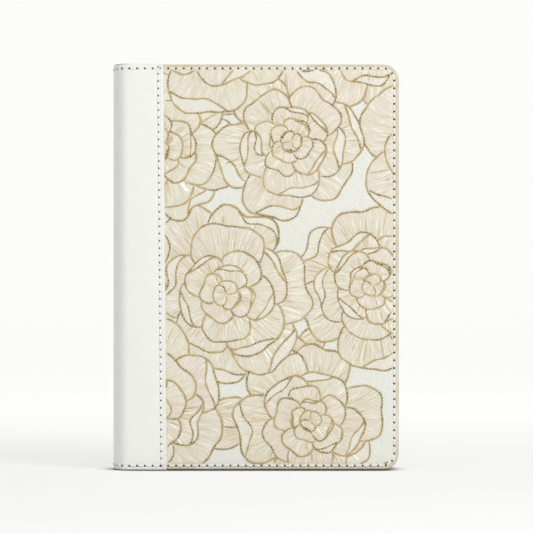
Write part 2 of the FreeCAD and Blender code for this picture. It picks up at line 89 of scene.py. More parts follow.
# Sizes read from the frame
HINGES = {joint["name"]: joint for joint in frame["joints"]}
JOINT_X = HINGES["front_cover_hinge"]["pos_m"][0] / MM
strip_low, strip_high = box_mm("front_strip")
panel_low, panel_high = box_mm("front_panel")
board_low, board_high = box_mm("front_board")
still_low, still_high = box_mm("section_08")
BOOK_HALF = -strip_low[1]
PANEL_OUT = -panel_low[1]
COVER_INNER_OUT = -panel_high[1]
HEIGHT = strip_high[2]
FORE_X = panel_high[0]
SPINE_DEPTH = JOINT_X - box_mm("spine_skin")[0][0]
PAGE_WIDTH = still_high[0] - still_low[0]

# Sizes of the finish, in millimetres
CORNER_ROUND = 8.5
LEAF_ROUND = 5.0
STRIP_TAIL_X = strip_high[0]
STRIP_SLANT = 1.8
SKIN_THICK = BOOK_HALF - PANEL_OUT
WRAP_THICK = panel_low[2]
STRIP_OUT = BOOK_HALF - 0.1
STITCH_INSET = 2.5
STITCH_PITCH = 4.1
STRIP_STITCH_INSET = 2.7
STRIP_STITCH_PITCH = 0.94 * STITCH_PITCH
HOLE_GAP = 1.0
EDGE_CLEAR = 0.8
THREAD_RADIUS = 0.42
HOLE_RADIUS = 0.5
STRIP_HOLE_RADIUS = 0.4
CORD_RADIUS = 0.45
CORD_TURN = 3.2
CORD_STEP = 0.6
CORD_WAVER = 0.16
CORD_LIFT = 0.12
CORD_MARGIN = 3.2
STROKE_RADIUS = 0.34
STROKE_LIFT = 0.14
STROKE_MARGIN = 3.8
COVER_GRID = 0.66
STRIP_GRID = 0.62
OUTWARD = np.array([0.0, 1.0, 0.0])


# Shapes


def smooth(low, high, x):
    """A smooth step from 0 at low to 1 at high."""
    t = np.clip((x - low) / (high - low), 0, 1)
    return t * t * (3 - 2 * t)


def grid_quads(rows, columns, wrap=False):
    """Quads between the neighbours of a grid; wrap joins the last column to the first."""
    row = np.arange(rows - 1)[:, None] * columns
    column = np.arange(columns if wrap else columns - 1)[None]
    after = (column + 1) % columns
    corners = [row + column, row + after, row + columns + after, row + columns + column]
    return np.stack(corners, -1).reshape(-1, 4)


def band_quads(first, second):
    """Quads between two closed rings of point numbers."""
    return np.stack([first, np.roll(first, -1), np.roll(second, -1), second], -1)


def signed_volume(points, faces):
    """Six times the volume inside the faces, negative where they face inwards."""
    middle, total = points.mean(0), 0.0
    for block in faces:
        corner = points[block] - middle
        for k in range(1, block.shape[1] - 1):
            total += np.einsum("ij,ij->", corner[:, 0], np.cross(corner[:, k], corner[:, k + 1]))
    return total


def gather(shapes):
    """Several shapes as one, each given as points, blocks of faces and columns of values per point."""
    points, blocks, values, start = [], {}, [], 0
    for shape_points, shape_faces, shape_values in shapes:
        points.append(shape_points)
        values.append(shape_values)
        for block in shape_faces:
            blocks.setdefault(block.shape[1], []).append(block + start)
        start += len(shape_points)
    return np.concatenate(points), [np.concatenate(b) for b in blocks.values()], np.concatenate(values)


def make_piece(name, shape, material, value_names=(), side=-1, sharp=50):
    """A mesh object from a shape, with its faces turned outwards and one attribute per column of values."""
    points, faces, values = shape
    points = points * np.array([1, side, 1])
    if signed_volume(points, faces) < 0:
        faces = [block[:, ::-1] for block in faces]
    mesh = bpy.data.meshes.new(name)
    corners = np.concatenate([block.reshape(-1) for block in faces]).astype(np.int32)
    counts = np.concatenate([np.full(len(block), block.shape[1]) for block in faces])
    mesh.vertices.add(len(points))
    mesh.vertices.foreach_set("co", (points * MM).astype(np.float32).ravel())
    mesh.loops.add(len(corners))
    mesh.loops.foreach_set("vertex_index", corners)
    mesh.polygons.add(len(counts))
    mesh.polygons.foreach_set("loop_start", (np.cumsum(counts) - counts).astype(np.int32))
    mesh.update(calc_edges=True)
    for value_name, column in zip(value_names, np.atleast_2d(values.T)):
        attribute = mesh.attributes.new(value_name, "FLOAT", "POINT")
        attribute.data.foreach_set("value", column.astype(np.float32))
    mesh.shade_smooth()
    mesh.set_sharp_from_angle(angle=math.radians(sharp))
    mesh.materials.append(material)
    piece = bpy.data.objects.new(name, mesh)
    bpy.context.scene.collection.objects.link(piece)
    return piece


def tube(points, outward, radius, sides, lobes=0.0, turn=1.0):
    """A rod along a path: rings of radius r(1 + lobes cos 2(angle - distance/turn)), with flat ends."""
    distance = np.concatenate([[0.0], np.cumsum(np.linalg.norm(np.diff(points, axis=0), axis=1))])
    heading = np.gradient(points, axis=0)
    heading /= np.linalg.norm(heading, axis=1, keepdims=True)
    across = np.cross(heading, outward)
    across /= np.linalg.norm(across, axis=1, keepdims=True)
    up = np.cross(across, heading)
    angle = np.arange(sides) * TAU / sides
    phase = angle[None] - (TAU * distance / turn)[:, None]
    reach = np.asarray(radius)[:, None] * (1 + lobes * np.cos(2 * phase))
    spread = np.cos(angle)[None, :, None] * across[:, None] + np.sin(angle)[None, :, None] * up[:, None]
    rings = points[:, None] + reach[..., None] * spread
    count = len(points)
    ends = np.stack([np.arange(sides)[::-1], (count - 1) * sides + np.arange(sides)])
    return rings.reshape(-1, 3), [grid_quads(count, sides, wrap=True), ends], np.repeat(distance, sides)


def side_curves(outline, u, v):
    """The low, fore, high and joint side of a plate with two round fore corners, meeting at mid corner."""
    left, right, low, high, radius = outline
    quarter, level = radius * math.pi / 4, right - radius - left
    upright = high - low - 2 * radius
    run, climb = u * (level + quarter), v * (upright + 2 * quarter)
    turn = np.clip((run - level) / radius, 0, None)
    across = np.minimum(left + run, right - radius) + radius * np.sin(turn)
    lift = radius * (1 - np.cos(turn))
    before = np.clip((quarter - climb) / radius, 0, None)
    after = np.clip((climb - quarter - upright) / radius, 0, None)
    fore_x = right - radius + radius * np.cos(before + after)
    fore_z = low + radius * (1 - np.sin(before) + np.sin(after)) + np.clip(climb - quarter, 0, upright)
    joint_z = low + (high - low) * v
    return (
        np.stack([across, low + lift], -1),
        np.stack([fore_x, fore_z], -1),
        np.stack([across, high - lift], -1),
        np.stack([np.full_like(v, left), joint_z], -1),
    )


def coons(outline, u, v):
    """A face over a plate's outline: its sides blended towards each other, less its blended corners."""
    low, fore, high, joint = side_curves(outline, u, v)
    a, b = u[:, None, None], v[None, :, None]
    sides = (1 - b) * low[:, None] + b * high[:, None] + (1 - a) * joint[None] + a * fore[None]
    corners = (1 - a) * ((1 - b) * low[0] + b * high[0]) + a * ((1 - b) * low[-1] + b * high[-1])
    return sides - corners


def border(grid):
    """The rim of a grid, once round."""
    return np.concatenate([grid[:, 0], grid[-1, 1:], grid[-2::-1, -1], grid[0, -2:0:-1]])


def inset_outline(outline, inset, left_inset):
    """An outline moved inwards, its corners turning about the same centres."""
    left, right, low, high, radius = outline
    return left + left_inset, right - inset, low + inset, high - inset, max(radius - inset, 0.5)


def plate(outline, u, v, profile, relief=None, whole_back=True):
    """A plate: its front face, rings down its side, and a back face, gridded or a fan from its middle.

    Each row of profile is inset, inset at the joint side, and out. relief gives the front face's rise.
    """
    faces_at = [(inset_outline(outline, inset, left_inset), out) for inset, left_inset, out in profile]
    flat = coons(faces_at[0][0], u, v)
    rise = relief(flat[..., 0], flat[..., 1]) if relief else np.zeros(flat.shape[:2])
    front = np.stack([flat[..., 0], faces_at[0][1] + rise, flat[..., 1]], -1)
    numbers = np.arange(len(u) * len(v)).reshape(len(u), len(v))
    points, faces, count = [front.reshape(-1, 3)], [grid_quads(len(u), len(v))], numbers.size
    ring = border(numbers)
    for place, out in faces_at[1:-1]:
        rim = border_of(place, u, v)
        points.append(np.column_stack([rim[:, 0], np.full(len(rim), out), rim[:, 1]]))
        following = count + np.arange(len(rim))
        faces.append(band_quads(ring, following)[:, ::-1])
        ring, count = following, count + len(rim)
    place, out = faces_at[-1]
    if whole_back:
        back = coons(place, u, v)
        points.append(np.stack([back[..., 0], np.full(back.shape[:2], out), back[..., 1]], -1).reshape(-1, 3))
        faces.append(band_quads(ring, border(numbers) + count)[:, ::-1])
        faces.append(grid_quads(len(u), len(v))[:, ::-1] + count)
        return np.concatenate(points), [np.concatenate(faces)], np.concatenate(points)[:, 1]
    rim = border_of(place, u, v)
    points.append(np.column_stack([rim[:, 0], np.full(len(rim), out), rim[:, 1]]))
    following = count + np.arange(len(rim))
    faces.append(band_quads(ring, following)[:, ::-1])
    middle = count + len(rim)
    points.append(np.array([[rim[:, 0].mean(), out, rim[:, 1].mean()]]))
    fan = np.stack([np.roll(following, -1), following, np.full(len(rim), middle)], -1)
    points = np.concatenate(points)
    return points, [np.concatenate(faces), fan[:, ::-1]], points[:, 1]


def border_of(outline, u, v):
    """The same rim as border gives, from the four sides alone."""
    low, fore, high, joint = side_curves(outline, u, v)
    return np.concatenate([low, fore[1:], high[-2::-1], joint[-2:0:-1]])


def sheet_shell(outer, inner):
    """A closed sheet between two grids of points, its four borders joined."""
    rows, columns = outer.shape[:2]
    numbers = np.arange(rows * columns).reshape(rows, columns)
    rim = border(numbers)
    faces = [grid_quads(rows, columns), grid_quads(rows, columns)[:, ::-1] + numbers.size]
    faces.append(band_quads(rim, rim + numbers.size)[:, ::-1])
    points = np.concatenate([outer.reshape(-1, 3), inner.reshape(-1, 3)])
    return points, [np.concatenate(faces)]


def even(low, high, spacing):
    """Evenly spaced numbers from low to high, about spacing apart."""
    return np.linspace(low, high, int(round((high - low) / spacing)) + 1)


# Materials


def linear(code):
    """The linear colour of an sRGB hex code."""
    parts = [int(code[k : k + 2], 16) / 255 for k in (1, 3, 5)]
    return [*(c / 12.92 if c <= 0.04045 else ((c + 0.055) / 1.055) ** 2.4 for c in parts), 1.0]


def put(tree, kind, inputs=None, **settings):
    """Adds a node with its properties. An input gets a value, a hex colour or a link; a Mix is of colours."""
    node = tree.nodes.new("ShaderNode" + kind)
    if kind == "Mix":
        settings = {"data_type": "RGBA", **settings}
    for key, setting in settings.items():
        setattr(node, key, setting)
    for key, source in (inputs or {}).items():
        if isinstance(source, str):
            source = linear(source)
        if isinstance(source, bpy.types.Node):
            source = next(socket for socket in source.outputs if socket.enabled)
        if isinstance(source, bpy.types.NodeSocket):
            tree.links.new(source, node.inputs[key])
        else:
            node.inputs[key].default_value = source
    return node


def new_material(name):
    """An empty material, and put for its own tree."""
    material = bpy.data.materials.new(name)
    material.use_nodes = True
    material.node_tree.nodes.clear()
    return material, functools.partial(put, material.node_tree)


def surface(add, colour, roughness, height=None, distance=0.0001, strength=1.0, **shader):
    """Ends a material in a Principled shader, with a bump of that height in metres."""
    inputs = {"Base Color": colour, "Roughness": roughness}
    inputs.update({key.replace("_", " "): setting for key, setting in shader.items()})
    if height is not None:
        bump = add("Bump", {"Strength": strength, "Distance": distance, "Height": height})
        inputs["Normal"] = bump
    principled = add("BsdfPrincipled", inputs)
    add("OutputMaterial", {"Surface": principled})


def printed_leatherette():
    """Imitation leather with a satin face, printed with pale blossoms on a ground of fine slanting ribs.

    Real ribs are about 0.5 mm apart. They are drawn 0.9 mm apart, so that they show.
    """
    material, add = new_material("printed_leatherette_satin")
    position = add("TexCoord").outputs["Object"]
    tone, petal, depth, lip, across, outwards, rim = (
        add("Attribute", attribute_name=name).outputs["Fac"]
        for name in ("tone", "petal", "base", "lip", "across", "outwards", "rim")
    )
    rib_pitch = 0.9 * MM
    rib_way = [TAU / rib_pitch / math.sqrt(2), 0, TAU / rib_pitch / math.sqrt(2)]
    along = add("VectorMath", {0: position, 1: rib_way}, operation="DOT_PRODUCT")
    ribs = add("Math", {0: along}, operation="SINE")
    ribs_share = add("MapRange", {"Value": ribs, "From Min": -1.0, "From Max": 1.0})
    ground = add("Mix", {0: ribs_share, 6: "#D3D5CC", 7: "#FAFBF5"})
    petals = add("Mix", {0: tone, 6: "#E2DDC9", 7: "#E2D8C8"})
    across_step = add("Math", {0: across, 1: 1 / 1.1}, operation="MULTIPLY")
    outwards_step = add("Math", {0: outwards, 1: 1 / 9}, operation="MULTIPLY")
    petal_step = add("Math", {0: tone, 1: 60.0}, operation="MULTIPLY")
    fan = add("CombineXYZ", {0: across_step, 1: outwards_step, 2: petal_step})
    streaks = add("TexNoise", {"Vector": fan, "Scale": 1.0, "Detail": 3.0, "Roughness": 0.6})
    ochre = add("MapRange", {"Value": streaks, "From Min": 0.5, "From Max": 0.7})
    pearl = add("MapRange", {"Value": streaks, "From Min": 0.47, "From Max": 0.32, "To Max": 0.75})
    foot = add("Math", {0: depth, 1: 0.9, 2: 0.22}, operation="MULTIPLY_ADD")
    ochre_here = add("Math", {0: ochre, 1: foot}, operation="MULTIPLY")
    deep = add("Math", {0: depth, 1: 0.4}, operation="MULTIPLY")
    for share, code in ((deep, "#D6CAA4"), (ochre_here, "#BDAC7A"), (pearl, "#FAF8F0"), (lip, "#E8E6DA")):
        petals = add("Mix", {0: share, 6: petals, 7: code})
    colour = add("Mix", {0: petal, 6: ground, 7: petals})
    # Clouds about 22 mm across, then a grain that a fingernail would feel
    blotch = add("TexNoise", {"Vector": position, "Scale": 45.0, "Detail": 3.0})
    cloud = add("MapRange", {"Value": blotch, "From Min": 0.3, "From Max": 0.7, "To Max": 0.16})
    grain = add("TexNoise", {"Vector": position, "Scale": 1 / (0.9 * MM), "Detail": 3.0})
    flecks = add("MapRange", {"Value": grain, "From Min": 0.35, "From Max": 0.65, "To Max": 0.26})
    # Painted shade: a patchy tan band on the rolled rim, where the edge turns away from the light
    patchy = {"Value": blotch, "From Min": 0.35, "From Max": 0.6, "To Min": 0.2, "To Max": 0.75}
    rim_shade_patches = add("MapRange", patchy)
    painted_rim_shade = add("Math", {0: rim_shade_patches, 1: rim}, operation="MULTIPLY")
    for share, code in ((cloud, "#F0EEE6"), (flecks, "#C6C0AC"), (painted_rim_shade, "#CABB98")):
        colour = add("Mix", {0: share, 6: colour, 7: code})
    flat = add("Math", {0: 1.0, 1: petal}, operation="SUBTRACT")
    rib_height = add("Math", {0: ribs, 1: flat}, operation="MULTIPLY")
    raised = add("Math", {0: streaks, 1: petal}, operation="MULTIPLY")
    carved = add("Math", {0: raised, 1: 2.5, 2: grain}, operation="MULTIPLY_ADD")
    height = add("Math", {0: rib_height, 1: 0.35, 2: carved}, operation="MULTIPLY_ADD")
    surface(add, colour, 0.46, height, 0.12 * MM, 0.5, Coat_Weight=0.08, Coat_Roughness=0.3)
    return material


def gold_thread():
    """Metallic embroidery thread laid as a twisted cord: soft gold with painted shade, dark dots in the
    crevices between the turns.
    """
    material, add = new_material("gold_metallised_thread")
    along = add("Attribute", attribute_name="along").outputs["Fac"]
    dotted = add("Attribute", attribute_name="dotted").outputs["Fac"]
    position = add("TexCoord").outputs["Object"]
    uneven = add("TexNoise", {"Vector": position, "Scale": 1 / (2.6 * MM), "Detail": 2.0})
    # Painted shade: dark dots, one per half turn, in the crevices between the turns, stronger on some cords
    turns = add("Math", {0: along, 1: TAU / (CORD_TURN / 2)}, operation="MULTIPLY")
    phase = add("Math", {0: uneven, 1: 9.0, 2: turns}, operation="MULTIPLY_ADD")
    wave = add("Math", {0: phase}, operation="SINE")
    dot = add("MapRange", {"Value": wave, "From Min": 0.15, "From Max": 0.7})
    strong = add("MapRange", {"Value": uneven, "From Min": 0.35, "From Max": 0.6, "To Min": 0.4})
    faded = add("Math", {0: dotted, 1: strong}, operation="MULTIPLY")
    dark = add("Math", {0: dot, 1: faded}, operation="MULTIPLY")
    patchy = add("TexNoise", {"Vector": position, "Scale": 1 / (6 * MM), "Detail": 2.0})
    gold = add("Mix", {0: patchy, 6: "#AD9560", 7: "#D3C193"})
    colour = add("Mix", {0: dark, 6: gold, 7: "#4E3D1E"})
    strands = add("TexNoise", {"Vector": position, "Scale": 1 / (0.25 * MM), "Detail": 1.0})
    surface(add, colour, 0.42, strands, 0.05 * MM, 0.5, Metallic=0.35)
    return material


def stroke_thread():
    """Flat embossed strokes inside the petals, from pearl white to pale gold."""
    material, add = new_material("embossed_pearl_foil")
    tone = add("Attribute", attribute_name="tone").outputs["Fac"]
    colour = add("Mix", {0: tone, 6: "#FFFEF8", 7: "#C2B07C"})
    surface(add, colour, 0.38, Metallic=0.12)
    return material


def white_leatherette():
    """White imitation leather: a satin skin over a fine pebbled grain, with a few faint specks."""
    material, add = new_material("white_leatherette_fine_grain")
    position = add("TexCoord").outputs["Object"]
    cells = add("TexVoronoi", {"Vector": position, "Scale": 1 / (0.8 * MM)}, feature="SMOOTH_F1")
    soft = add("TexNoise", {"Vector": position, "Scale": 1 / (9 * MM), "Detail": 3.0})
    tint = add("Mix", {0: soft, 6: "#ECEDE8", 7: "#F1F2ED"})
    specks = add("TexNoise", {"Vector": position, "Scale": 1 / (1.3 * MM), "Detail": 0.0})
    rare = add("MapRange", {"Value": specks, "From Min": 0.72, "From Max": 0.78, "To Max": 0.25})
    colour = add("Mix", {0: rare, 6: tint, 7: "#CFCAC0"})
    height = add("Math", {0: cells.outputs[0], 1: 0.6, 2: soft}, operation="MULTIPLY_ADD")
    surface(add, colour, 0.43, height, 0.06 * MM, 0.25)
    return material


def fibrous(name, spacing_mm, dark, pale, roughness, detail=2.0, bump=0.0, **shader):
    """Thread or cloth seen close: fibres of that spacing, which shade it from one colour to the other."""
    material, add = new_material(name)
    position = add("TexCoord").outputs["Object"]
    fibres = add("TexNoise", {"Vector": position, "Scale": 1 / (spacing_mm * MM), "Detail": detail})
    colour = add("Mix", {0: fibres, 6: dark, 7: pale})
    surface(add, colour, roughness, fibres if bump else None, 0.05 * MM, bump, **shader)
    return material


def leaf_paper():
    """Thin cream book paper, cut smooth: fine lines of leaves at the edges, faint fibres on the page."""
    material, add = new_material("cream_bible_paper")
    position = add("TexCoord").outputs["Object"]
    depth = add("Attribute", attribute_name="depth").outputs["Fac"]
    edge = add("Attribute", attribute_name="edge").outputs["Fac"]
    fibres = add("TexNoise", {"Vector": position, "Scale": 1 / (2.5 * MM), "Detail": 4.0})
    page = add("Mix", {0: fibres, 6: "#EFE8D8", 7: "#F6F1E5"})
    lines = add("TexNoise", {"W": depth, "Scale": 3.0, "Detail": 4.0}, noise_dimensions="1D")
    contrast = add("MapRange", {"Value": lines, "From Min": 0.3, "From Max": 0.7})
    cut = add("Mix", {0: contrast, 6: "#CFC6B0", 7: "#F7F2E6"})
    colour = add("Mix", {0: edge, 6: page, 7: cut})
    surface(add, colour, 0.78, fibres, 0.02 * MM, 0.4)
    return material


def plain_paper(name, pale, dark, spacing_mm, roughness):
    """Uncoated paper or card with cloudy fibres of that spacing."""
    material, add = new_material(name)
    position = add("TexCoord").outputs["Object"]
    cloud = add("TexNoise", {"Vector": position, "Scale": 1 / (spacing_mm * MM), "Detail": 5.0})
    fleck = add("TexVoronoi", {"Vector": position, "Scale": 1 / (0.6 * spacing_mm * MM)})
    colour = add("Mix", {0: cloud, 6: dark, 7: pale})
    height = add("Math", {0: fleck.outputs[0], 1: 0.3, 2: cloud}, operation="MULTIPLY_ADD")
    surface(add, colour, roughness, height, 0.05 * MM, 0.6)
    return material


def mull_gauze():
    """Starched open gauze: threads 0.8 mm apart up and across, glue showing between them."""
    material, add = new_material("starched_mull_gauze")
    position = add("TexCoord").outputs["Object"]
    pitch = TAU / (0.8 * MM)
    waves = []
    for way in ([0, pitch, 0], [0, 0, pitch]):
        run = add("VectorMath", {0: position, 1: way}, operation="DOT_PRODUCT")
        waves.append(add("Math", {0: run}, operation="COSINE"))
    weave = add("Math", {0: waves[0], 1: waves[1]}, operation="MAXIMUM")
    threads = add("MapRange", {"Value": weave, "From Min": 0.2, "From Max": 0.8})
    colour = add("Mix", {0: threads, 6: "#CDBF9D", 7: "#ECE6D6"})
    surface(add, colour, 0.85, weave, 0.1 * MM, 0.8)
    return material


def band_silk():
    """Silk wound over a core in two colours, white and pale gold, a few threads of each in turn."""
    material, add = new_material("wound_band_silk")
    along = add("Attribute", attribute_name="along").outputs["Fac"]
    phase = add("Math", {0: along, 1: TAU / 2.4}, operation="MULTIPLY")
    wave = add("Math", {0: phase}, operation="SINE")
    stripe = add("MapRange", {"Value": wave, "From Min": -0.15, "From Max": 0.15})
    colour = add("Mix", {0: stripe, 6: "#F1ECE0", 7: "#CDB27C"})
    surface(add, colour, 0.4, wave, 0.05 * MM, 0.4, Sheen_Weight=0.3)
    return material


PRINT = printed_leatherette()
GOLD = gold_thread()
STROKES = stroke_thread()
WHITE = white_leatherette()
# White twisted polyester: bright, with a soft sheen along the ply
THREAD = fibrous("white_polyester_thread", 0.2, "#F1F0EB", "#FBFAF7", 0.55, 2.0, 0.5, Sheen_Weight=0.2)
# Painted shade: near-black shallow cups stand for the dark inside of a needle hole
HOLES = fibrous("needle_hole_painted_shade", 0.3, "#0C0A08", "#241F18", 0.9)
PAPER = leaf_paper()
ENDPAPER = plain_paper("ivory_wove_endpaper", "#F5F1E6", "#EAE3D2", 3.0, 0.75)
CARD = plain_paper("grey_cover_card", "#BDB5A4", "#A59B88", 1.2, 0.85)
LINING = plain_paper("white_lining_paper", "#EDE9DE", "#DDD6C6", 2.0, 0.8)
GAUZE = mull_gauze()
# Unbleached linen, waxed, with slubs
LINEN = fibrous("waxed_linen_thread", 0.5, "#D8CBAE", "#EFE6D0", 0.6, 3.0, 0.6)
SILK = band_silk()

CAD_FINISHES = {
    CARD: ("front_board", "back_board", "spine_stiffener"),
    LINING: ("front_lining", "back_lining", "spine_paper"),
    GAUZE: ("spine_mull",),
    LINEN: ("sewing_threads",),
}
for material, node_names in CAD_FINISHES.items():
    for node_name in node_names:
        mesh = frame["nodes"][node_name].data
        mesh.materials.clear()
        mesh.materials.append(material)


# The blossoms on a cover

FAN_FOOT = 0.4
PETAL_RINGS = ((6, 1.0), (5, 0.72), (5, 0.49), (4, 0.3), (3, 0.15))
LATTICE = (80.0, 70.0)
LATTICE_START = {"front": (22.0, 28.0), "back": (2.0, 6.0)}
STROKE_SPACING = 1.25


def petal(middle, axis, half_width, reach, random, full=True):
    """One petal or leaf: a fan about its axis, from its blossom's middle."""
    return {
        "x": middle[0],
        "z": middle[1],
        "axis": axis,
        "half_width": half_width,
        "reach": reach,
        "power": (3.0, 0.5) if full else (1.35, 0.95),
        "notch": random.uniform(0.0, 0.09) if full else 0.0,
        "ripple": random.uniform(0, TAU),
        "lip": random.uniform(0.1, 0.2) if full and random.random() < 0.6 else 0.0,
        "lip_at": random.uniform(-0.45, 0.45),
        "tone": random.random(),
    }


def reach_at(shape, turn):
    """How far a petal reaches at that turn from its axis: a full fan with a rippled, notched tip."""
    share = np.clip(np.abs(turn) / shape["half_width"], 0, 1)
    fan = np.maximum(1 - share ** shape["power"][0], 0) ** shape["power"][1]
    ripple = 1 + 0.025 * np.cos(6 * turn / shape["half_width"] + shape["ripple"])
    notch = shape["notch"] * np.exp(-((share / 0.25) ** 2))
    return shape["reach"] * (FAN_FOOT + (1 - FAN_FOOT) * fan) * (ripple - notch)


def lip_share(shape, turn):
    """How much of the reach the turned lip takes: a crescent about lip_at."""
    offset = (turn / shape["half_width"] - shape["lip_at"]) / 0.55
    return shape["lip"] * np.clip(1 - offset**2, 0, 1)


def polar(shape, x, z):
    """Distance from a petal's foot and turn from its axis."""
    dx, dz = x - shape["x"], z - shape["z"]
    turn = (np.arctan2(dz, dx) - shape["axis"] + math.pi) % TAU - math.pi
    return np.hypot(dx, dz), turn


def flower_bed(side, random):
    """Leaves, then blossoms on a jittered slanting lattice, each in rings from its outer petals inwards."""
    places = []
    for row in range(-1, 4):
        for column in range(-2, 3):
            corner = np.array([column + 0.5 * (row % 2), row]) * LATTICE + LATTICE_START[side]
            places.append(corner + random.uniform(-7, 7, 2))
    random.shuffle(places)
    shapes = []
    for place in places:
        for start in random.uniform(0, TAU, 2):
            foot = place + 30 * np.array([math.cos(start), math.sin(start)])
            shapes.append(petal(foot, start, 0.55, random.uniform(24, 34), random, full=False))
    for place in places:
        radius, spin = random.uniform(36, 52), random.uniform(0, TAU)
        for count, share in PETAL_RINGS:
            spin += 0.5 * TAU / count
            for k in range(count):
                axis = spin + (k + random.uniform(-0.12, 0.12)) * TAU / count
                reach = radius * share * random.uniform(0.92, 1.07)
                half_width = 0.5 * TAU / count * random.uniform(1.12, 1.36)
                shapes.append(petal(place, axis, half_width, reach, random))
    near = [s for s in shapes if on_panel(s["x"], s["z"], -1.1 * s["reach"], -1.1 * s["reach"])]
    return near


def topmost(shapes, x, z):
    """Which petal lies on top at each place, or -1, with its own distance and turn there."""
    top = np.full(x.shape, -1)
    far, turned = np.zeros(x.shape), np.zeros(x.shape)
    for k, shape in enumerate(shapes):
        room = 1.1 * shape["reach"]
        close = np.nonzero((np.abs(x - shape["x"]) < room) & (np.abs(z - shape["z"]) < room))
        if not close[0].size:
            continue
        distance, turn = polar(shape, x[close], z[close])
        inside = (np.abs(turn) < shape["half_width"]) & (distance < reach_at(shape, turn))
        chosen = tuple(index[inside] for index in close)
        top[chosen], far[chosen], turned[chosen] = k, distance[inside], turn[inside]
    return top, far, turned


def print_fields(shapes, x, z):
    """For each place: is it petal, the petal's tone, base shade and turned lip, and where in the petal it is.

    The rise is a pillow inside each outline, with folds sin(turn * reach) that run out from the petal's foot.
    """
    top, distance, turn = topmost(shapes, x, z)
    share, lip, tone, folds = np.ones(x.shape), np.zeros(x.shape), np.zeros(x.shape), np.zeros(x.shape)
    across = np.zeros(x.shape)
    for k in np.unique(top[top >= 0]):
        here = top == k
        reach = reach_at(shapes[k], turn[here])
        share[here] = distance[here] / reach
        lip[here] = share[here] > 1 - lip_share(shapes[k], turn[here])
        tone[here] = shapes[k]["tone"]
        waver = 0.9 * np.sin(distance[here] / 3.5 + 3 * turn[here] + shapes[k]["ripple"])
        across[here] = turn[here] * shapes[k]["reach"] + waver
        drift = 1.6 * np.sin(4 * turn[here] + shapes[k]["ripple"]) + 1.1 * np.sin(6 * share[here])
        folds[here] = np.sin(turn[here] * shapes[k]["reach"] * 0.9 + drift)
    petal_here = (top >= 0).astype(float)
    base = petal_here * smooth(0.95, 0.35, share)
    folded = smooth(0.3, 0.5, share) * smooth(1.0, 0.8, share) * (1 - lip)
    rise = petal_here * (0.2 * smooth(1.0, 0.86, share) + 0.11 * folds * folded)
    return {
        "petal": petal_here,
        "tone": tone,
        "base": base,
        "lip": lip * petal_here,
        "across": across,
        "outwards": distance,
        "rise": rise,
    }


def strip_edge(z):
    """Where the white strip ends on a cover, slanting from tail to head."""
    return STRIP_TAIL_X - STRIP_SLANT * z / HEIGHT


def evenly(points, spacing):
    """A path drawn again with evenly spaced points."""
    run = np.concatenate([[0.0], np.cumsum(np.linalg.norm(np.diff(points, axis=0), axis=1))])
    places = even(0, run[-1], spacing) if run[-1] > 2 * spacing else np.array([0, run[-1]])
    return np.stack([np.interp(places, run, points[:, k]) for k in range(points.shape[1])], -1)


def petal_lines(shape):
    """A petal's outline from foot to foot, and the line of its turned lip."""
    turn = np.linspace(-1, 1, 240) * shape["half_width"]
    reach = reach_at(shape, turn)
    foot = np.linspace(0.2, 1, 12)[:-1]
    turns = np.concatenate([np.full(11, turn[0]), turn, np.full(11, turn[-1])])
    reaches = np.concatenate([foot * reach[0], reach, foot[::-1] * reach[-1]])
    lines = [(turns, reaches)]
    share = lip_share(shape, turn)
    if shape["lip"]:
        held = share > 0.012
        lines.append((turn[held], (reach * (1 - share))[held]))
    angled = [(t + shape["axis"], r) for t, r in lines]
    return [np.stack([shape["x"] + r * np.cos(a), shape["z"] + r * np.sin(a)], -1) for a, r in angled]


def on_panel(x, z, margin, off_strip=0.35):
    """True where a cover's face shows, at least margin inside its edges and clear of the strip."""
    return (edge_distance(x, z) > margin) & (x > strip_edge(z) + off_strip)


def edge_distance(x, z):
    """Distance inwards from a panel's edge, whose fore corners are round."""
    half = (panel_high[2] - panel_low[2]) / 2
    middle = (panel_high[2] + panel_low[2]) / 2
    right = x - (panel_high[0] - CORNER_ROUND)
    up = np.abs(z - middle) - (half - CORNER_ROUND)
    outside = np.hypot(np.maximum(right, 0), np.maximum(up, 0)) + np.minimum(np.maximum(right, up), 0)
    return CORNER_ROUND - outside


def runs_of(mask):
    """The stretches of a mask that are true, as pairs of a start and an end."""
    change = np.diff(np.concatenate([[0], mask.astype(int), [0]]))
    return zip(np.nonzero(change == 1)[0], np.nonzero(change == -1)[0])


def shown_runs(lines, owners, shapes, margin, shortest):
    """The stretches of each line that no later petal covers, with their owners."""
    every = np.concatenate(lines)
    top = topmost(shapes, every[:, 0], every[:, 1])[0]
    owner = np.repeat(owners, [len(line) for line in lines])
    shown = (top <= owner) & on_panel(every[:, 0], every[:, 1], margin)
    start = 0
    for line, number in zip(lines, owners):
        mask = shown[start : start + len(line)]
        start += len(line)
        for first, last in runs_of(mask):
            if last - first >= shortest:
                yield line[first:last], number


